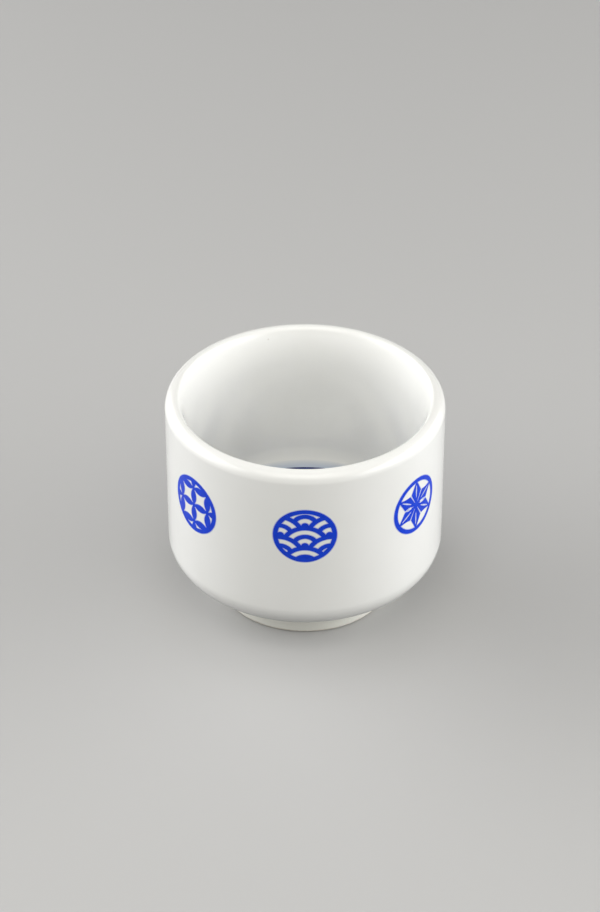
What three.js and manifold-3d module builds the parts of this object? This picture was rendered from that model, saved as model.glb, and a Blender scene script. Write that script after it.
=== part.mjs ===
// A porcelain sake cup: turned body, luted foot ring, glaze, and blue prints outside and inside.
// Millimetres, +Z up. The origin is the middle of the foot ring's resting face.
import * as THREE from 'three';
import { mergeVertices } from 'three/addons/utils/BufferGeometryUtils.js';
import Module from 'manifold-3d';

const wasm = await Module();
wasm.setup();

// Body and foot
const rimRadius = 26;
const cupHeight = 43;
const wallThickness = 3.8;
const lipTopInset = 2;
const lipOuterRise = 2.2;
const lipInnerRise = 8;
const cornerRadius = 6.1;
const undersideSlope = THREE.MathUtils.degToRad(23.4);
const filletRadius = 7;
const floorHeight = 9.5;
const recessHeight = 3.2;
const footRadius = 16.6;
const footHeight = 4.95;
const footWidth = 2.9;
const footDraft = THREE.MathUtils.degToRad(4);
const footEdgeRadius = 0.5;

// Coats and prints, and the clearances that keep them apart as solids
const glazeThickness = 0.25;
const printThickness = 0.12;
const bondGap = 0.05;
const glazeToFootGap = 0.3;

// Rings printed on the floor of the inside
const wallToRingGap = 1.5;
const outerRingWidth = 3.2;
const ringSpacing = 3.8;
const innerRingWidth = 4.8;

// Roundels printed round the outside
const roundelCount = 7;
const roundelRadius = 5.8;
const lipToRoundelGap = 7.5;
const roundelLine = 0.85;
const bareLine = 0.35;
const stemWidth = 0.5;

// Facets
const turnSegments = 48;
const cornerSteps = 4;
const lipOuterSteps = 3;
const lipInnerSteps = 5;
const filletSteps = 4;
const edgeSteps = 2;
const circleSteps = 12;
const leafSteps = 4;
const slitSteps = 2;

const porcelain = { color: 0xf1f0ea, roughness: 0.55, metalness: 0 };
const glaze = { color: 0xf4f4f0, roughness: 0.12, metalness: 0 };
const ink = { color: 0x1d47b4, roughness: 0.15, metalness: 0 };
const darkInk = { color: 0x15275c, roughness: 0.15, metalness: 0 };

const cup = new THREE.Group();
cup.name = 'sake_cup';

function addPiece(name, geometry, finish) {
  const mesh = new THREE.Mesh(geometry, new THREE.MeshStandardMaterial(finish));
  mesh.name = name;
  cup.add(mesh);
}

// Points of an arc in the turning plane, from one angle to another, both ends included. With a rise, it is an
// ellipse's arc that is as high as the rise and as wide as the radius.
function arcPoints(centre, radius, from, to, steps, rise = radius) {
  const points = [];
  for (let i = 0; i <= steps; i += 1) {
    const angle = from + ((to - from) * i) / steps;
    const x = centre.x + radius * Math.cos(angle);
    const y = centre.y + rise * Math.sin(angle);
    points.push(new THREE.Vector2(x, y));
  }
  return points;
}

// A turned solid from a closed outline of radius and height, walked with the solid on its left
function turned(points) {
  const geometry = new THREE.LatheGeometry(points, turnSegments);
  geometry.rotateX(Math.PI / 2);
  return geometry;
}

function closed(points) {
  return [...points, points[0].clone()];
}

// Glazed section of the cup. The inset shrinks every face inwards, towards the middle of the wall.
const lipTopRadius = rimRadius - lipTopInset;
const lipOuterCentre = new THREE.Vector2(lipTopRadius, cupHeight - lipOuterRise);
const lipInnerCentre = new THREE.Vector2(lipTopRadius, cupHeight - lipInnerRise);
const insideRadius = rimRadius - wallThickness;
const lipInnerWidth = lipTopRadius - insideRadius;
const filletCentre = new THREE.Vector2(insideRadius - filletRadius, floorHeight + filletRadius);
const cornerCentreRadius = rimRadius - cornerRadius;
const slopeEndRadius = cornerCentreRadius + cornerRadius * Math.sin(undersideSlope);
const slopeRise = (slopeEndRadius - footRadius) * Math.tan(undersideSlope);
const cornerCentreHeight = footHeight + slopeRise + cornerRadius * Math.cos(undersideSlope);
const cornerCentre = new THREE.Vector2(cornerCentreRadius, cornerCentreHeight);

// Height of the underside at a radius: flat in the middle, then the slope that the foot ring stands under
function undersideHeight(radius, inset) {
  const slope = footHeight + (radius - footRadius) * Math.tan(undersideSlope);
  return Math.max(recessHeight + inset, slope + inset / Math.cos(undersideSlope));
}

// Radius at which the flat middle of the underside turns into the slope
function undersideBreak(inset) {
  const lift = inset - inset / Math.cos(undersideSlope);
  return footRadius + (recessHeight + lift - footHeight) / Math.tan(undersideSlope);
}

// The inside below the lip: an upright wall, a fillet and a flat floor
function insideSection(inset) {
  const fillet = arcPoints(filletCentre, filletRadius + inset, 0, -Math.PI / 2, filletSteps);
  return [...fillet, new THREE.Vector2(0, floorHeight - inset)];
}

// The lip rounds off shortly on the outside and runs in a long curve into the inside wall
function lipSection(inset) {
  const top = Math.PI / 2;
  const outerRise = lipOuterRise - inset;
  const innerRise = lipInnerRise - inset;
  const outer = arcPoints(lipOuterCentre, lipTopInset - inset, 0, top, lipOuterSteps, outerRise);
  const inner = arcPoints(lipInnerCentre, lipInnerWidth - inset, top, Math.PI, lipInnerSteps, innerRise);
  return [...outer, ...inner.slice(1)];
}

function cupSection(startRadius, inset) {
  const start = new THREE.Vector2(startRadius, undersideHeight(startRadius, inset));
  const cornerStart = undersideSlope - Math.PI / 2;
  const corner = arcPoints(cornerCentre, cornerRadius - inset, cornerStart, 0, cornerSteps);
  return [start, ...corner, ...lipSection(inset), ...insideSection(inset)];
}

const bodyInset = glazeThickness + bondGap;

function bodyGeometry() {
  const breakRadius = undersideBreak(bodyInset);
  const middle = new THREE.Vector2(0, undersideHeight(0, bodyInset));
  return turned([middle, ...cupSection(breakRadius, bodyInset)]);
}

function glazeGeometry() {
  const startRadius = footRadius + glazeToFootGap;
  const inner = cupSection(startRadius, glazeThickness).reverse();
  return turned([...inner, ...cupSection(startRadius, 0)]);
}

// The foot ring tapers downwards, with rounded edges beside its resting face
function footGeometry() {
  const topInset = bodyInset - bondGap;
  const innerRadius = footRadius - footWidth;
  const outerTop = new THREE.Vector2(footRadius, undersideHeight(footRadius, topInset));
  const innerTop = new THREE.Vector2(innerRadius, undersideHeight(innerRadius, topInset));
  const taper = footHeight * Math.tan(footDraft);
  const outerEdge = new THREE.Vector2(footRadius - taper - footEdgeRadius, footEdgeRadius);
  const innerEdge = new THREE.Vector2(innerRadius + taper + footEdgeRadius, footEdgeRadius);
  const outer = arcPoints(outerEdge, footEdgeRadius, -Math.PI / 2, 0, edgeSteps);
  const inner = arcPoints(innerEdge, footEdgeRadius, Math.PI, 1.5 * Math.PI, edgeSteps);
  const breakRadius = undersideBreak(topInset);
  const top = [outerTop, innerTop];
  if (breakRadius > innerRadius && breakRadius < footRadius) {
    top.splice(1, 0, new THREE.Vector2(breakRadius, undersideHeight(breakRadius, topInset)));
  }
  return turned(closed([...outer, ...top, ...inner]));
}

// Glaze on the flat and sloping underside within the foot ring
function baseGlazeGeometry() {
  const edgeRadius = footRadius - footWidth - glazeToFootGap;
  const face = (inset) => {
    const breakRadius = Math.min(undersideBreak(inset), edgeRadius);
    const radii = [0, breakRadius, edgeRadius];
    return radii.map((radius) => new THREE.Vector2(radius, undersideHeight(radius, inset)));
  };
  return turned([...face(0), ...face(glazeThickness).reverse()]);
}

// The stretch of an inward-running section between two radii, walked outwards
function stretch(points, innerRadius, outerRadius) {
  const at = (radius) => {
    const i = points.findIndex((point) => point.x <= radius);
    const share = (points[i - 1].x - radius) / (points[i - 1].x - points[i].x);
    return points[i - 1].clone().lerp(points[i], share);
  };
  const between = points.filter((point) => point.x > innerRadius && point.x < outerRadius);
  return [at(innerRadius), ...between.reverse(), at(outerRadius)];
}

function floorRingGeometry(outerRadius, width) {
  const innerRadius = outerRadius - width;
  const under = stretch(insideSection(-bondGap), innerRadius, outerRadius);
  const over = stretch(insideSection(-bondGap - printThickness), innerRadius, outerRadius);
  return turned(closed([...under, ...over.reverse()]));
}

// Joining and cutting of closed solids
function solidOf(geometry) {
  const bare = geometry.clone();
  bare.deleteAttribute('normal');
  bare.deleteAttribute('uv');
  const merged = mergeVertices(bare);
  const vertProperties = new Float32Array(merged.attributes.position.array);
  const triVerts = new Uint32Array(merged.index.array);
  return new wasm.Manifold(new wasm.Mesh({ numProp: 3, vertProperties, triVerts }));
}

function geometryOf(solid) {
  const mesh = solid.getMesh();
  const geometry = new THREE.BufferGeometry();
  geometry.setAttribute('position', new THREE.BufferAttribute(mesh.vertProperties, 3));
  geometry.setIndex(new THREE.BufferAttribute(mesh.triVerts, 1));
  geometry.computeVertexNormals();
  return geometry;
}

// Flat shapes of the roundels. Each is drawn as seen from outside, about the roundel's own middle.
const roundelHeight = cupHeight - lipToRoundelGap - roundelRadius;
const fieldRadius = roundelRadius - roundelLine;
const printReach = rimRadius + bondGap + printThickness + glazeThickness;

function polar(radius, angle) {
  return new THREE.Vector2(radius * Math.sin(angle), radius * Math.cos(angle));
}

function disc(centre, radius) {
  const shape = new THREE.Shape();
  shape.absarc(centre.x, centre.y, radius, 0, 2 * Math.PI);
  return shape;
}

// A pointed leaf between two points, as wide in the middle as it is told
function leaf(from, to, width) {
  const middle = from.clone().add(to).multiplyScalar(0.5);
  const along = to.clone().sub(from).normalize();
  const bulge = new THREE.Vector2(along.y, -along.x).multiplyScalar(width);
  const right = middle.clone().add(bulge);
  const left = middle.clone().sub(bulge);
  const shape = new THREE.Shape();
  shape.moveTo(from.x, from.y);
  shape.quadraticCurveTo(right.x, right.y, to.x, to.y);
  shape.quadraticCurveTo(left.x, left.y, from.x, from.y);
  return shape;
}

function bar(from, to, width) {
  const along = to.clone().sub(from).normalize();
  const half = new THREE.Vector2(along.y, -along.x).multiplyScalar(width / 2);
  const back = half.clone().negate();
  const right = [from.clone().add(half), to.clone().add(half)];
  const left = [to.clone().add(back), from.clone().add(back)];
  return new THREE.Shape([...right, ...left]);
}

// A solid that reaches from the cup's axis out through the wall, with the shape as its section
function prism(shape, steps) {
  const options = { depth: printReach, bevelEnabled: false, curveSegments: steps };
  const geometry = new THREE.ExtrudeGeometry(shape, options);
  geometry.rotateX(Math.PI / 2);
  geometry.translate(0, 0, roundelHeight);
  return solidOf(geometry);
}

const middle = new THREE.Vector2(0, 0);
const ringDisc = prism(disc(middle, roundelRadius), circleSteps);
const fieldDisc = prism(disc(middle, fieldRadius), circleSteps);
const trimDisc = prism(disc(middle, fieldRadius + roundelLine / 2), circleSteps);
const ring = ringDisc.subtract(fieldDisc);

// Overlapping wave crests: rows of banded discs, each row laid over the one behind it
function waveMotif() {
  const crestRadius = 0.9 * fieldRadius;
  const bandEdges = [0.8, 0.58, 0.38, 0.16];
  const rowCount = 5;
  let motif = null;
  for (let row = 0; row < rowCount; row += 1) {
    const y = ((1 - row) * crestRadius) / 2;
    const columns = row % 2 === 0 ? [0] : [-1, 1];
    for (const column of columns) {
      const centre = new THREE.Vector2(column * crestRadius, y);
      const crest = prism(disc(centre, crestRadius), circleSteps);
      motif = motif ? motif.add(crest) : crest;
      bandEdges.forEach((share, i) => {
        const band = prism(disc(centre, share * crestRadius), circleSteps);
        motif = i % 2 === 0 ? motif.subtract(band) : motif.add(band);
      });
    }
  }
  return motif;
}

// Hemp leaf: six kite-shaped petals that meet in the middle and run into the ring, each with a slit
function hempMotif() {
  const petalCount = 6;
  const tipRadius = fieldRadius + roundelLine / 2;
  const shoulderRadius = tipRadius / Math.sqrt(3);
  const shoulderAngle = Math.PI / petalCount - bareLine / shoulderRadius / 2;
  const hubRadius = 0.16 * fieldRadius;
  const slitStart = 0.28 * tipRadius;
  const slitEnd = 0.84 * tipRadius;
  let motif = prism(disc(middle, hubRadius), circleSteps);
  for (let i = 0; i < petalCount; i += 1) {
    const angle = (2 * Math.PI * i) / petalCount;
    const tip = polar(tipRadius, angle);
    const right = polar(shoulderRadius, angle + shoulderAngle);
    const left = polar(shoulderRadius, angle - shoulderAngle);
    const slit = leaf(polar(slitStart, angle), polar(slitEnd, angle), bareLine);
    motif = motif.add(prism(new THREE.Shape([middle, left, tip, right]), 1));
    motif = motif.subtract(prism(slit, slitSteps));
  }
  return motif;
}

// Open folding fan: a pleated leaf over ribs that meet at the pivot, its corners running into the ring
function fanMotif() {
  const pivot = new THREE.Vector2(0, -0.68 * fieldRadius);
  const spread = THREE.MathUtils.degToRad(45);
  const leafInner = 0.62 * fieldRadius;
  const leafOuter = 1.4 * fieldRadius;
  const pleatCount = 6;
  const shape = new THREE.Shape();
  shape.absarc(pivot.x, pivot.y, leafOuter, Math.PI / 2 - spread, Math.PI / 2 + spread);
  shape.absarc(pivot.x, pivot.y, leafInner, Math.PI / 2 + spread, Math.PI / 2 - spread, true);
  let motif = prism(shape, leafSteps);
  for (let i = 0; i <= pleatCount; i += 1) {
    const angle = -spread + (2 * spread * i) / pleatCount;
    const ribEnd = pivot.clone().add(polar(leafInner + stemWidth, angle));
    motif = motif.add(prism(bar(pivot, ribEnd, stemWidth), 1));
    if (i > 0 && i < pleatCount) {
      const from = pivot.clone().add(polar(leafInner + 2 * stemWidth, angle));
      const to = pivot.clone().add(polar(leafOuter + stemWidth, angle));
      motif = motif.subtract(prism(bar(from, to, bareLine), 1));
    }
  }
  return motif.add(prism(disc(pivot, stemWidth), leafSteps));
}

// Linked circles: pointed leaves along the lines of a square grid, meeting in a knot at each crossing
function shippoMotif() {
  const pitch = 0.75 * fieldRadius;
  const leafWidth = (Math.SQRT2 - 1) * pitch;
  const reach = 2;
  const knots = [];
  const leaves = [];
  for (let i = -reach; i <= reach; i += 1) {
    for (let j = -reach; j <= reach; j += 1) {
      const knot = new THREE.Vector2(i * pitch, j * pitch);
      knots.push(disc(knot, stemWidth));
      leaves.push(leaf(knot, new THREE.Vector2(knot.x + pitch, knot.y), leafWidth));
      leaves.push(leaf(knot, new THREE.Vector2(knot.x, knot.y + pitch), leafWidth));
    }
  }
  const shapes = [...knots, ...leaves];
  return shapes.map((shape) => prism(shape, leafSteps)).reduce((motif, part) => motif.add(part));
}

// A film round the straight wall, from which the roundels are cut
function wallFilm() {
  const inner = rimRadius + bondGap;
  const outer = inner + printThickness;
  const low = cornerCentre.y;
  const high = lipOuterCentre.y;
  const corners = [[inner, low], [outer, low], [outer, high], [inner, high]];
  const points = corners.map(([radius, height]) => new THREE.Vector2(radius, height));
  return solidOf(turned(closed(points)));
}

addPiece('cup_body', bodyGeometry(), porcelain);
addPiece('foot_ring', footGeometry(), porcelain);
addPiece('glaze_coat', glazeGeometry(), glaze);
addPiece('base_glaze', baseGlazeGeometry(), glaze);
const outerRingRadius = insideRadius - wallToRingGap;
const innerRingRadius = outerRingRadius - outerRingWidth - ringSpacing;
addPiece('janome_outer_ring', floorRingGeometry(outerRingRadius, outerRingWidth), darkInk);
addPiece('janome_inner_ring', floorRingGeometry(innerRingRadius, innerRingWidth), darkInk);

// Each motif is trimmed inside its ring and stamped through the film at its places round the wall
const motifs = { wave: waveMotif(), hemp: hempMotif(), shippo: shippoMotif(), fan: fanMotif() };
const motifNames = Object.keys(motifs);
const film = wallFilm();
for (let i = 0; i < roundelCount; i += 1) {
  const motifName = motifNames[i % motifNames.length];
  const stamp = motifs[motifName].intersect(trimDisc).add(ring);
  const angle = (360 * i) / roundelCount;
  const print = film.intersect(stamp.rotate([0, 0, angle]));
  addPiece(`roundel_${i + 1}_${motifName}`, geometryOf(print), ink);
}

export default cup;
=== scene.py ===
"""Looks of the sake cup: smooth glazed porcelain, a foot ring with a bare edge, and blue prints.

Metres, +Z up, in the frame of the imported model. The camera stands on the -Y side.
"""
import math

import bpy
import numpy as np
from mathutils import Euler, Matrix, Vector
from mathutils.geometry import delaunay_2d_cdt


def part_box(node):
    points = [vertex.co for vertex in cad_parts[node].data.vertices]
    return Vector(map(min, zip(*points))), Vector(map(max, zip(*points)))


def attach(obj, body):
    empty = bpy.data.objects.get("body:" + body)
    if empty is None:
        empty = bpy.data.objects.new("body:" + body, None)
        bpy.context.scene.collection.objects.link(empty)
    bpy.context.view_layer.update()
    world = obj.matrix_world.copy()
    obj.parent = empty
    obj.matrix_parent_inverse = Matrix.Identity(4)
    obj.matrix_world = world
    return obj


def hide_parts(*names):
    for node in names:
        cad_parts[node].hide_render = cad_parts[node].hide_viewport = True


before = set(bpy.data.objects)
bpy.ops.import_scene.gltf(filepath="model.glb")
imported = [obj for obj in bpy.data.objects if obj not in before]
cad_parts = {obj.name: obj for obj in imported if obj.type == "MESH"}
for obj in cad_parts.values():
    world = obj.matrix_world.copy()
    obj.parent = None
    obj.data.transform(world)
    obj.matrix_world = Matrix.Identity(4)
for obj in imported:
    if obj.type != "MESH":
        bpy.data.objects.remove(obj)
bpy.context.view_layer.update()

MM = 0.001

# Sizes read off the frame
RIM_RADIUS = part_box("glaze_coat")[1].x
CUP_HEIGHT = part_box("glaze_coat")[1].z
FOOT_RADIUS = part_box("foot_ring")[1].x
OUTER_RING_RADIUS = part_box("janome_outer_ring")[1].x
INNER_RING_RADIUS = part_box("janome_inner_ring")[1].x
roundel_low, roundel_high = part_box("roundel_1_wave")
ROUNDEL_RADIUS = (roundel_high.z - roundel_low.z) / 2 / MM
ROUNDEL_HEIGHT = (roundel_high.z + roundel_low.z) / 2

# Sizes of the cup's section
WALL = 3.8 * MM
LIP_TOP_INSET = 2 * MM
LIP_OUTER_RISE = 2.2 * MM
LIP_INNER_RISE = 8 * MM
CORNER_RADIUS = 6.1 * MM
UNDERSIDE_SLOPE = math.radians(23.4)
FILLET_RADIUS = 7 * MM
FLOOR_HEIGHT = 9.5 * MM
RECESS_HEIGHT = 3.2 * MM
FOOT_HEIGHT = 4.95 * MM
FOOT_WIDTH = 2.9 * MM
FOOT_DRAFT = math.radians(4)
FOOT_EDGE_RADIUS = 0.5 * MM
GLAZE = 0.25 * MM
BOND_GAP = 0.05 * MM
GLAZE_TO_FOOT_GAP = 0.06 * MM
OUTER_RING_WIDTH = 3.2 * MM
INNER_RING_WIDTH = 4.8 * MM

# The prints are films too thin to show an edge: first the pale bleed of the colour, over it the ink
BLEED_FILM = (0.002 * MM, 0.006 * MM)
INK_FILM = (0.008 * MM, 0.016 * MM)
BLEED = 0.14
RING_BLEED = 0.85 * MM

# The roundels are drawn flat in millimetres about their own middle, then bent round the wall
ROUNDEL_LINE = 0.85
FIELD_RADIUS = ROUNDEL_RADIUS - ROUNDEL_LINE
BARE_LINE = 0.35
STEM_WIDTH = 0.5
PRINT_STEP = 0.3
GRID_STEP = 0.5

# Facets and tolerances
TURN_SEGMENTS = 180
ARC_STEP = math.radians(4)
SHARP_ANGLE = math.radians(40)
LEAF_STEPS = 10
FAN_STEPS = 20
LEAST_DISC_STEPS = 16
ON_AXIS = 1e-9
WELD = 1e-4

# Finishes
GLAZE_ROUGHNESS = 0.06
INK_ROUGHNESS = 0.08
INK_SPECULAR = 0.2
BARE_ROUGHNESS = 0.65
PORCELAIN_ROUGHNESS = 0.6
FOOT_GLAZE_ROUGHNESS = 0.09
FLOOR_ROUGHNESS = 0.6
RIPPLE_DEPTH = 0.03 * MM
RIPPLE_STRENGTH = 0.5
GLAZE_LINE = (0.72 * MM, 0.82 * MM)
GLAZE_LINE_WAVER = 0.5 * MM
SPECK_EDGE = (0.012, 0.026)

# Scales of the patterns in the finishes, in waves or cells to a metre
CLOUD_SCALE = 60
RIPPLE_SCALE = 110
SPECK_SCALE = 120
WAVER_SCALE = 180
MOTTLE_SCALE = 900
GRAIN_SCALE = 2500

# Stage
FLOOR_SIZE = 4

# Camera
CAMERA_PLACE = (0, -0.46388, 0.35217)
CAMERA_PITCH = math.radians(34.843)
CAMERA_YAW = math.radians(0.117)
CAMERA_LENS = 119
CAMERA_SENSOR = 36


# Turned forms

def arc(centre, radius, start, end, rise=None):
    """An arc, or with a rise an ellipse's arc that is as high as the rise and as wide as the radius."""
    steps = max(2, math.ceil(abs(end - start) / ARC_STEP))
    angles = [start + (end - start) * i / steps for i in range(steps + 1)]
    rise = radius if rise is None else rise
    return [(centre[0] + radius * math.cos(a), centre[1] + rise * math.sin(a)) for a in angles]


def new_piece(name, vertices, faces):
    mesh = bpy.data.meshes.new(name)
    mesh.from_pydata(vertices, [], faces)
    mesh.shade_smooth()
    piece = bpy.data.objects.new(name, mesh)
    bpy.context.scene.collection.objects.link(piece)
    return piece


def turned(name, section, closed=False):
    """A turned solid from points of radius and height, walked with the solid on the left."""
    vertices = []
    rings = []
    for radius, height in section:
        if radius < ON_AXIS:
            rings.append([len(vertices)] * TURN_SEGMENTS)
            vertices.append((0, 0, height))
            continue
        rings.append([len(vertices) + i for i in range(TURN_SEGMENTS)])
        for i in range(TURN_SEGMENTS):
            angle = 2 * math.pi * i / TURN_SEGMENTS
            vertices.append((radius * math.cos(angle), radius * math.sin(angle), height))
    pairs = list(zip(rings, rings[1:]))
    if closed:
        pairs.append((rings[-1], rings[0]))
    faces = []
    for low, high in pairs:
        for i in range(TURN_SEGMENTS):
            j = (i + 1) % TURN_SEGMENTS
            corners = [low[i], low[j], high[j], high[i]]
            face = [c for k, c in enumerate(corners) if c not in corners[:k]]
            if len(face) > 2:
                faces.append(face)
    piece = new_piece(name, vertices, faces)
    piece.data.set_sharp_from_angle(angle=SHARP_ANGLE)
    return piece


# Section of the cup. The inset shrinks every face towards the middle of the wall.
lip_top_radius = RIM_RADIUS - LIP_TOP_INSET
inside_radius = RIM_RADIUS - WALL
lip_inner_width = lip_top_radius - inside_radius
fillet_centre = (inside_radius - FILLET_RADIUS, FLOOR_HEIGHT + FILLET_RADIUS)
corner_centre_radius = RIM_RADIUS - CORNER_RADIUS
slope_end = corner_centre_radius + CORNER_RADIUS * math.sin(UNDERSIDE_SLOPE)
slope_rise = (slope_end - FOOT_RADIUS) * math.tan(UNDERSIDE_SLOPE)
corner_centre_height = FOOT_HEIGHT + slope_rise + CORNER_RADIUS * math.cos(UNDERSIDE_SLOPE)
corner_centre = (corner_centre_radius, corner_centre_height)


def underside_height(radius, inset):
    """Flat in the middle, then the slope that the foot ring stands under."""
    slope = FOOT_HEIGHT + (radius - FOOT_RADIUS) * math.tan(UNDERSIDE_SLOPE)
    return max(RECESS_HEIGHT + inset, slope + inset / math.cos(UNDERSIDE_SLOPE))


def underside_break(inset):
    """The radius at which the flat middle of the underside turns into the slope."""
    lift = inset - inset / math.cos(UNDERSIDE_SLOPE)
    return FOOT_RADIUS + (RECESS_HEIGHT + lift - FOOT_HEIGHT) / math.tan(UNDERSIDE_SLOPE)


def fillet_height(radius):
    return fillet_centre[1] - math.sqrt(FILLET_RADIUS ** 2 - (radius - fillet_centre[0]) ** 2)


def inside_section(inset):
    """Below the lip: an upright wall, a fillet and a flat floor."""
    fillet = arc(fillet_centre, FILLET_RADIUS + inset, 0, -math.pi / 2)
    return fillet + [(0, FLOOR_HEIGHT - inset)]


def lip_section(inset):
    """Rounded off shortly on the outside, and running in a long curve into the inside wall."""
    outer_centre = (lip_top_radius, CUP_HEIGHT - LIP_OUTER_RISE)
    inner_centre = (lip_top_radius, CUP_HEIGHT - LIP_INNER_RISE)
    outer = arc(outer_centre, LIP_TOP_INSET - inset, 0, math.pi / 2, LIP_OUTER_RISE - inset)
    inner = arc(inner_centre, lip_inner_width - inset, math.pi / 2, math.pi, LIP_INNER_RISE - inset)
    return outer + inner[1:]


def cup_section(start_radius, inset):
    start = (start_radius, underside_height(start_radius, inset))
    corner = arc(corner_centre, CORNER_RADIUS - inset, UNDERSIDE_SLOPE - math.pi / 2, 0)
    return [start] + corner + lip_section(inset) + inside_section(inset)


def make_body():
    inset = GLAZE + BOND_GAP
    middle = (0, underside_height(0, inset))
    return turned("porcelain_body", [middle] + cup_section(underside_break(inset), inset))


def make_glaze():
    start = FOOT_RADIUS + GLAZE_TO_FOOT_GAP
    inner = cup_section(start, GLAZE)[::-1]
    return turned("glaze_coat_smooth", inner + cup_section(start, 0))


def make_foot():
    inner_radius = FOOT_RADIUS - FOOT_WIDTH
    taper = FOOT_HEIGHT * math.tan(FOOT_DRAFT)
    outer_edge = (FOOT_RADIUS - taper - FOOT_EDGE_RADIUS, FOOT_EDGE_RADIUS)
    inner_edge = (inner_radius + taper + FOOT_EDGE_RADIUS, FOOT_EDGE_RADIUS)
    outer = arc(outer_edge, FOOT_EDGE_RADIUS, -math.pi / 2, 0)
    inner = arc(inner_edge, FOOT_EDGE_RADIUS, math.pi, 1.5 * math.pi)
    top = [(r, underside_height(r, GLAZE)) for r in (FOOT_RADIUS, inner_radius)]
    return turned("foot_ring_smooth", outer + top + inner, closed=True)


def make_base_glaze():
    edge = FOOT_RADIUS - FOOT_WIDTH - GLAZE_TO_FOOT_GAP

    def face(inset):
        return [(r, underside_height(r, inset)) for r in (0, underside_break(inset), edge)]

    return turned("base_glaze_smooth", face(0) + face(GLAZE)[::-1])


def stretch(points, inner_radius, outer_radius):
    """The part of an inward-running section between two radii, walked outwards."""

    def at(radius):
        i = next(k for k, p in enumerate(points) if p[0] <= radius)
        a, b = points[i - 1], points[i]
        share = (a[0] - radius) / (a[0] - b[0])
        return (radius, a[1] + (b[1] - a[1]) * share)

    between = [p for p in points if inner_radius < p[0] < outer_radius]
    return [at(inner_radius)] + between[::-1] + [at(outer_radius)]


def make_floor_ring(name, outer_radius, width, bleed=0):
    """A printed ring, and outside it a second finish where its colour bleeds into the glaze."""

    def face(level):
        points = stretch(inside_section(-level), outer_radius - width, outer_radius)
        if bleed:
            points += stretch(inside_section(-level), outer_radius, outer_radius + bleed)[1:]
        return points

    ring = turned(name, face(INK_FILM[0]) + face(INK_FILM[1])[::-1], closed=True)
    outside = [polygon.center.xy.length > outer_radius for polygon in ring.data.polygons]
    ring.data.polygons.foreach_set("material_index", [int(o) for o in outside])
    return ring


# Outlines of the roundels' motifs, each an anticlockwise list of points

def polar(radius, angle):
    return (radius * math.sin(angle), radius * math.cos(angle))


def disc(centre, radius):
    count = max(LEAST_DISC_STEPS, math.ceil(2 * math.pi * radius / PRINT_STEP))
    angles = [2 * math.pi * i / count for i in range(count)]
    return [(centre[0] + radius * math.cos(a), centre[1] + radius * math.sin(a)) for a in angles]


def leaf(start, end, width):
    """A pointed leaf between two points."""
    a, b = np.array(start), np.array(end)
    along = (b - a) / np.linalg.norm(b - a)
    bulge = np.array((along[1], -along[0])) * width
    outline = []
    for p, q, side in ((a, b, bulge), (b, a, -bulge)):
        for i in range(LEAF_STEPS):
            t = i / LEAF_STEPS
            outline.append(tuple((1 - t) ** 2 * p + 2 * t * (1 - t) * ((p + q) / 2 + side) + t ** 2 * q))
    return outline


def bar(start, end, width):
    a, b = np.array(start), np.array(end)
    along = (b - a) / np.linalg.norm(b - a)
    half = np.array((along[1], -along[0])) * width / 2
    return [tuple(a + half), tuple(b + half), tuple(b - half), tuple(a - half)]


# Motifs, as layers of outlines that are inked or left bare over those before them

def wave_motif():
    """Overlapping wave crests: rows of banded discs, each row laid over the one behind it."""
    crest = 0.9 * FIELD_RADIUS
    bands = [(1, True), (0.8, False), (0.58, True), (0.38, False), (0.16, True)]
    row_count = 5
    layers = []
    for row in range(row_count):
        y = (1 - row) * crest / 2
        for column in ((0,) if row % 2 == 0 else (-1, 1)):
            layers += [(disc((column * crest, y), share * crest), inked) for share, inked in bands]
    return layers


def hemp_motif():
    """Six kite-shaped petals that meet in the middle and run into the ring, each with a slit."""
    petal_count = 6
    tip_radius = FIELD_RADIUS + ROUNDEL_LINE / 2
    shoulder_radius = tip_radius / math.sqrt(3)
    shoulder_angle = math.pi / petal_count - BARE_LINE / shoulder_radius / 2
    hub_radius = 0.16 * FIELD_RADIUS
    slit_start, slit_end = 0.28 * tip_radius, 0.84 * tip_radius
    layers = []
    slits = []
    for i in range(petal_count):
        angle = 2 * math.pi * i / petal_count
        left = polar(shoulder_radius, angle - shoulder_angle)
        right = polar(shoulder_radius, angle + shoulder_angle)
        layers.append(([(0, 0), right, polar(tip_radius, angle), left], True))
        slits.append((leaf(polar(slit_start, angle), polar(slit_end, angle), BARE_LINE), False))
    return layers + slits + [(disc((0, 0), hub_radius), True)]


def shippo_motif():
    """Linked circles: pointed leaves along the lines of a square grid, with a knot at each crossing."""
    pitch = 0.75 * FIELD_RADIUS
    width = (math.sqrt(2) - 1) * pitch
    reach = 2
    layers = []
    for i in range(-reach, reach + 1):
        for j in range(-reach, reach + 1):
            x, y = i * pitch, j * pitch
            layers.append((disc((x, y), STEM_WIDTH), True))
            layers.append((leaf((x, y), (x + pitch, y), width), True))
            layers.append((leaf((x, y), (x, y + pitch), width), True))
    return layers


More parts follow.
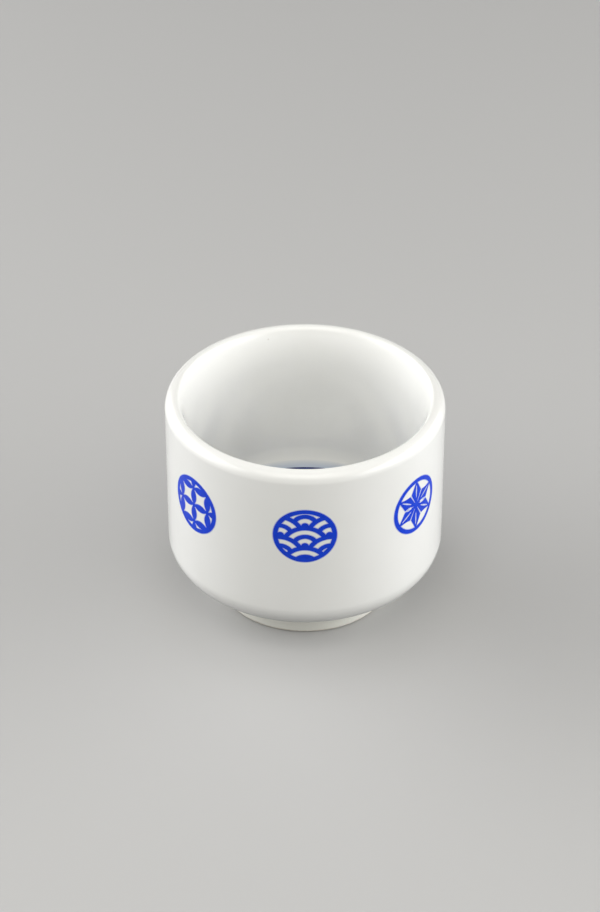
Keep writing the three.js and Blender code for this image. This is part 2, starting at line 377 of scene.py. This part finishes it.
def fan_motif():
    """An open folding fan: a pleated leaf over ribs that meet at the pivot."""
    pivot = (0, -0.68 * FIELD_RADIUS)
    spread = math.radians(45)
    inner, outer = 0.62 * FIELD_RADIUS, 1.4 * FIELD_RADIUS
    pleats = 6

    def from_pivot(radius, angle):
        x, y = polar(radius, angle)
        return (pivot[0] + x, pivot[1] + y)

    angles = [spread - 2 * spread * i / FAN_STEPS for i in range(FAN_STEPS + 1)]
    blade = [from_pivot(outer, a) for a in angles] + [from_pivot(inner, a) for a in reversed(angles)]
    ribs = []
    slits = []
    for i in range(pleats + 1):
        angle = -spread + 2 * spread * i / pleats
        ribs.append((bar(pivot, from_pivot(inner + STEM_WIDTH, angle), STEM_WIDTH), True))
        if 0 < i < pleats:
            ends = from_pivot(inner + 2 * STEM_WIDTH, angle), from_pivot(outer + STEM_WIDTH, angle)
            slits.append((bar(*ends, BARE_LINE), False))
    return [(blade, True)] + ribs + slits + [(disc(pivot, STEM_WIDTH), True)]


# Prints as solids

def grown(outline, amount):
    """The outline moved outwards by an amount, or inwards by a negative one.

    At a corner the points move further, up to the amount over the least share.
    """
    least_share = 0.4
    points = np.array(outline)
    along = np.roll(points, -1, axis=0) - points
    along /= np.linalg.norm(along, axis=1)[:, None]
    normal = np.stack((along[:, 1], -along[:, 0]), axis=1)
    both = normal + np.roll(normal, 1, axis=0)
    both /= np.linalg.norm(both, axis=1)[:, None]
    share = np.maximum((both * normal).sum(axis=1), least_share)
    return points + both * (amount / share)[:, None]


def inside(points, outline):
    """Which of the points lie within the outline."""
    x, y = points[:, 0], points[:, 1]
    odd = np.zeros(len(points), bool)
    for (ax, ay), (bx, by) in zip(outline, np.roll(outline, -1, axis=0)):
        if ay != by:
            odd ^= ((ay > y) != (by > y)) & (x < ax + (bx - ax) * (y - ay) / (by - ay))
    return odd


def flat_print(motif, bleed):
    """Points and triangles of a roundel: its ring, and the ink of its motif within the ring."""
    edge = np.array(disc((0, 0), ROUNDEL_RADIUS + bleed))
    field = np.array(disc((0, 0), FIELD_RADIUS - bleed))
    layers = [(grown(outline, bleed if inked else -bleed), inked) for outline, inked in motif]
    reach = ROUNDEL_RADIUS + bleed
    points = []
    edges = []
    for outline in [edge, field] + [layer for layer, inked in layers]:
        near = np.linalg.norm(outline, axis=1) < reach + PRINT_STEP / 2
        for a, b in zip(range(len(outline)), np.roll(range(len(outline)), -1)):
            if near[a] and near[b]:
                edges.append((len(points), len(points) + 1))
                points += [Vector(outline[a]), Vector(outline[b])]
    count = math.ceil(reach / GRID_STEP)
    for i in range(-count, count + 1):
        for j in range(-count, count + 1):
            place = Vector((i * GRID_STEP, j * GRID_STEP))
            if place.length < reach:
                points.append(place)
    corners, _, faces, _, _, _ = delaunay_2d_cdt(points, edges, [], 0, WELD)
    corners = np.array([tuple(c) for c in corners])
    faces = np.array([tuple(f) for f in faces])
    middles = corners[faces].mean(axis=1)
    inked_here = np.zeros(len(faces), bool)
    for outline, inked in layers:
        inked_here[inside(middles, outline)] = inked
    kept = faces[inside(middles, edge) & (~inside(middles, field) | inked_here)]
    used, renumbered = np.unique(kept, return_inverse=True)
    return corners[used], renumbered.reshape(-1, 3)


def bent_film(flat, film, angle):
    """A flat print bent round the wall as a closed film, with the wall's own normals on its outer face."""
    points, triangles = flat
    turn = np.arcsin(points[:, 0] * MM / RIM_RADIUS) + angle
    out = np.stack((np.sin(turn), -np.cos(turn), np.zeros(len(turn))), axis=1)
    heights = ROUNDEL_HEIGHT + points[:, 1] * MM
    axis_points = np.stack((np.zeros(len(turn)), np.zeros(len(turn)), heights), axis=1)
    skins = [axis_points + out * (RIM_RADIUS + level) for level in film]
    vertices = [tuple(v) for v in np.concatenate(skins)]
    n = len(points)
    faces = []
    normals = []
    sides = {}
    for a, b, c in triangles.tolist():
        faces.append((a + n, b + n, c + n))
        normals += [out[a], out[b], out[c]]
        faces.append((c, b, a))
        normals += [-out[c], -out[b], -out[a]]
        for edge in ((a, b), (b, c), (c, a)):
            sides[edge] = True
    for a, b in sides:
        if (b, a) not in sides:
            faces.append((a, b, b + n, a + n))
            across = Vector(vertices[b]) - Vector(vertices[a])
            side = across.cross(Vector(out[a])).normalized()
            normals += [side] * 4
    return vertices, faces, [tuple(v) for v in normals]


def make_roundel(name, ink_and_bleed, angle):
    """The ink of a roundel, and under it its bleed as a second finish."""
    vertices, faces, normals, materials = [], [], [], []
    for index, (flat, film) in enumerate(zip(ink_and_bleed, (INK_FILM, BLEED_FILM))):
        more, more_faces, more_normals = bent_film(flat, film, angle)
        faces += [tuple(c + len(vertices) for c in face) for face in more_faces]
        vertices += more
        normals += more_normals
        materials += [index] * len(more_faces)
    piece = new_piece(name, vertices, faces)
    piece.data.polygons.foreach_set("material_index", materials)
    piece.data.normals_split_custom_set(normals)
    return piece


# Materials

def new_material(name):
    material = bpy.data.materials.new(name)
    material.use_nodes = True
    nodes = material.node_tree.nodes
    return material, nodes, material.node_tree.links, nodes["Principled BSDF"]


def noise(nodes, links, scale, detail=2.0, roughness=0.5):
    """Noise that is the same for every piece, because all of them share the frame's origin."""
    place = nodes.new("ShaderNodeTexCoord")
    texture = nodes.new("ShaderNodeTexNoise")
    texture.inputs["Scale"].default_value = scale
    texture.inputs["Detail"].default_value = detail
    texture.inputs["Roughness"].default_value = roughness
    links.new(place.outputs["Object"], texture.inputs["Vector"])
    return texture.outputs["Fac"]


def blend(nodes, links, factor, first, second):
    """A mix of two colours. The Mix node has several sockets of one name, so they go by number."""
    factor_in, first_in, second_in, colour_out = 0, 6, 7, 2
    mix = nodes.new("ShaderNodeMix")
    mix.data_type = "RGBA"
    links.new(factor, mix.inputs[factor_in])
    for socket, value in ((mix.inputs[first_in], first), (mix.inputs[second_in], second)):
        if isinstance(value, tuple):
            socket.default_value = (*value, 1)
        else:
            links.new(value, socket)
    return mix.outputs[colour_out]


def calculate(nodes, links, operation, *values):
    """A sum on sockets and plain numbers."""
    node = nodes.new("ShaderNodeMath")
    node.operation = operation
    for socket, value in zip(node.inputs, values):
        if isinstance(value, (int, float)):
            socket.default_value = value
        else:
            links.new(value, socket)
    return node.outputs["Value"]


def ramp(nodes, links, value, low, high, to_low=0.0, to_high=1.0):
    """Runs evenly from one number to another while the value runs from low to high."""
    node = nodes.new("ShaderNodeMapRange")
    links.new(value, node.inputs["Value"])
    sockets = ("From Min", "From Max", "To Min", "To Max")
    for socket, number in zip(sockets, (low, high, to_low, to_high)):
        node.inputs[socket].default_value = number
    return node.outputs["Result"]


def clouds(nodes, links):
    """Wide, soft changes of tone in a glaze."""
    return ramp(nodes, links, noise(nodes, links, CLOUD_SCALE, 3.0), 0.35, 0.65)


def grains(nodes, links):
    """The fine grain of bare porcelain."""
    return ramp(nodes, links, noise(nodes, links, GRAIN_SCALE, 3.0), 0.3, 0.7)


def ripple(nodes, links, shader):
    """The slight unevenness of a poured glaze, which only its reflections show."""
    bump = nodes.new("ShaderNodeBump")
    bump.inputs["Strength"].default_value = RIPPLE_STRENGTH
    bump.inputs["Distance"].default_value = RIPPLE_DEPTH
    links.new(noise(nodes, links, RIPPLE_SCALE, 1.0), bump.inputs["Height"])
    links.new(bump.outputs["Normal"], shader.inputs["Normal"])


def specks(nodes, links):
    """One where a rare iron speck shows in the glaze, elsewhere zero."""
    place = nodes.new("ShaderNodeTexCoord")
    cells = nodes.new("ShaderNodeTexVoronoi")
    cells.inputs["Scale"].default_value = SPECK_SCALE
    links.new(place.outputs["Object"], cells.inputs["Vector"])
    return ramp(nodes, links, cells.outputs["Distance"], *SPECK_EDGE, 1.0, 0.0)


def glaze_material(name, pale, deep):
    material, nodes, links, shader = new_material(name)
    white = blend(nodes, links, clouds(nodes, links), pale, deep)
    speckled = blend(nodes, links, specks(nodes, links), white, (0.74, 0.72, 0.69))
    links.new(speckled, shader.inputs["Base Color"])
    shader.inputs["Roughness"].default_value = GLAZE_ROUGHNESS
    ripple(nodes, links, shader)
    return material


def ink_material(name, light, dark):
    """A finely mottled print under gloss."""
    material, nodes, links, shader = new_material(name)
    mottle = ramp(nodes, links, noise(nodes, links, MOTTLE_SCALE, 4.0, 0.6), 0.3, 0.7)
    links.new(blend(nodes, links, mottle, dark, light), shader.inputs["Base Color"])
    shader.inputs["Roughness"].default_value = INK_ROUGHNESS
    shader.inputs["Specular IOR Level"].default_value = INK_SPECULAR
    ripple(nodes, links, shader)
    return material


def height_of_point(nodes, links):
    place = nodes.new("ShaderNodeNewGeometry")
    split = nodes.new("ShaderNodeSeparateXYZ")
    links.new(place.outputs["Position"], split.inputs["Vector"])
    return split.outputs["Z"]


def bleed_material(name, edge, white, low, high):
    """The colour at a print's edge, paling up the wall to the white of the glaze."""
    material, nodes, links, shader = new_material(name)
    pale = ramp(nodes, links, height_of_point(nodes, links), low, high)
    links.new(blend(nodes, links, pale, edge, white), shader.inputs["Base Color"])
    shader.inputs["Roughness"].default_value = GLAZE_ROUGHNESS
    ripple(nodes, links, shader)
    return material


def foot_material():
    """Glazed like the cup down to a wavering line, and below it bare, matt and slightly sandy."""
    material, nodes, links, shader = new_material("foot_porcelain")
    waver = noise(nodes, links, WAVER_SCALE)
    level = height_of_point(nodes, links)
    wavering = calculate(nodes, links, "MULTIPLY_ADD", waver, GLAZE_LINE_WAVER, level)
    glazed = ramp(nodes, links, wavering, *GLAZE_LINE)
    bare = blend(nodes, links, grains(nodes, links), (0.70, 0.66, 0.57), (0.80, 0.77, 0.70))
    coat = blend(nodes, links, clouds(nodes, links), (0.90, 0.90, 0.83), (0.87, 0.87, 0.80))
    links.new(blend(nodes, links, glazed, bare, coat), shader.inputs["Base Color"])
    roughness = ramp(nodes, links, glazed, 0.0, 1.0, BARE_ROUGHNESS, FOOT_GLAZE_ROUGHNESS)
    links.new(roughness, shader.inputs["Roughness"])
    return material


def porcelain_material():
    material, nodes, links, shader = new_material("bare_porcelain")
    grey = blend(nodes, links, grains(nodes, links), (0.80, 0.79, 0.74), (0.84, 0.83, 0.79))
    links.new(grey, shader.inputs["Base Color"])
    shader.inputs["Roughness"].default_value = PORCELAIN_ROUGHNESS
    return material


def dress(piece, slot, node, *materials):
    for material in materials:
        piece.data.materials.append(material)
    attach(piece, "root")
    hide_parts(node)


glaze = glaze_material("white_glaze", (0.90, 0.905, 0.89), (0.88, 0.885, 0.865))
navy = ink_material("navy_print", (0.02, 0.045, 0.22), (0.010, 0.022, 0.12))
cobalt = ink_material("cobalt_print", (0.0, 0.055, 0.74), (0.0, 0.038, 0.62))
halo = ink_material("cobalt_bleed", (0.50, 0.56, 0.80), (0.42, 0.49, 0.78))
bleed_heights = [fillet_height(OUTER_RING_RADIUS + out) for out in (0, RING_BLEED)]
ring_bleed = bleed_material("navy_bleed", (0.42, 0.50, 0.64), (0.89, 0.89, 0.87), *bleed_heights)
dress(make_body(), "porcelain", "cup_body", porcelain_material())
dress(make_foot(), "porcelain", "foot_ring", foot_material())
dress(make_glaze(), "glaze", "glaze_coat", glaze)
dress(make_base_glaze(), "glaze", "base_glaze", glaze)
outer_ring = make_floor_ring("floor_ring_outer", OUTER_RING_RADIUS, OUTER_RING_WIDTH, RING_BLEED)
inner_ring = make_floor_ring("floor_ring_inner", INNER_RING_RADIUS, INNER_RING_WIDTH)
dress(outer_ring, "floor_print", "janome_outer_ring", navy, ring_bleed)
dress(inner_ring, "floor_print", "janome_inner_ring", navy)

motifs = {"wave": wave_motif(), "hemp": hemp_motif(), "shippo": shippo_motif(), "fan": fan_motif()}
flats = {name: (flat_print(motif, 0), flat_print(motif, BLEED)) for name, motif in motifs.items()}
roundels = sorted(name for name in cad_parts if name.startswith("roundel"))
for place, node in enumerate(roundels):
    motif = node.split("_")[-1]
    turn = 2 * math.pi * place / len(roundels)
    dress(make_roundel(node + "_print", flats[motif], turn), "wall_print", node, cobalt, halo)


# Stage

def make_floor():
    """A floor that is pale to look at and in reflections, but throws little light back on the cup."""
    bpy.ops.mesh.primitive_plane_add(size=FLOOR_SIZE)
    floor = bpy.context.object
    floor.name = "floor"
    material, nodes, links, shader = new_material("pale_floor")
    path = nodes.new("ShaderNodeLightPath")
    seen = path.outputs["Is Camera Ray"]
    for ray in ("Is Glossy Ray", "Is Transmission Ray"):
        seen = calculate(nodes, links, "MAXIMUM", seen, path.outputs[ray])
    grey = blend(nodes, links, seen, (0.12, 0.12, 0.12), (0.5, 0.5, 0.5))
    links.new(grey, shader.inputs["Base Color"])
    shader.inputs["Roughness"].default_value = FLOOR_ROUGHNESS
    floor.data.materials.append(material)


def fade_ends(lamp):
    """Let a panel's light fade out towards its two ends, which softens its reflections.

    The light is a hump, u times 1 - u, and six times that has a mean of one, so the power stays.
    """
    to_mean_of_one = 6
    lamp.use_nodes = True
    nodes, links = lamp.node_tree.nodes, lamp.node_tree.links
    place = nodes.new("ShaderNodeNewGeometry")
    split = nodes.new("ShaderNodeSeparateXYZ")
    links.new(place.outputs["Parametric"], split.inputs["Vector"])
    across = split.outputs["X"]
    rest = calculate(nodes, links, "SUBTRACT", 1, across)
    hump = calculate(nodes, links, "MULTIPLY", across, rest)
    level = calculate(nodes, links, "MULTIPLY", hump, to_mean_of_one)
    links.new(level, nodes["Emission"].inputs["Strength"])


def area_light(name, place, target, size, power, colour=(1, 1, 1)):
    lamp = bpy.data.lights.new(name, "AREA")
    lamp.shape = "RECTANGLE"
    lamp.size, lamp.size_y = size
    lamp.energy = power
    lamp.color = colour
    fade_ends(lamp)
    obj = bpy.data.objects.new(name, lamp)
    bpy.context.scene.collection.objects.link(obj)
    obj.location = place
    obj.rotation_euler = (Vector(target) - Vector(place)).to_track_quat("-Z", "Y").to_euler()


def make_lights():
    middle = (0, 0, 0.025)
    area_light("left_panel", (-0.675, 0.119, 0.33), middle, (1.8, 0.7), 9)
    area_light("right_panel", (0.616, -0.054, 0.226), middle, (1.6, 0.44), 5.9)
    area_light("front_panel", (0, -0.43, 0.58), middle, (1.0, 0.5), 2.4, (1, 0.98, 0.92))
    world = bpy.data.worlds.new("studio")
    world.use_nodes = True
    background = world.node_tree.nodes["Background"]
    background.inputs["Color"].default_value = (1, 0.94, 0.80, 1)
    background.inputs["Strength"].default_value = 0.1
    bpy.context.scene.world = world


def make_camera():
    data = bpy.data.cameras.new("camera")
    data.sensor_width = CAMERA_SENSOR
    data.lens = CAMERA_LENS
    camera = bpy.data.objects.new("camera", data)
    bpy.context.scene.collection.objects.link(camera)
    camera.location = CAMERA_PLACE
    camera.rotation_euler = Euler((math.pi / 2 - CAMERA_PITCH, 0, CAMERA_YAW))
    bpy.context.scene.camera = camera


make_floor()
make_lights()
make_camera()
bpy.context.scene.view_settings.view_transform = "Standard"
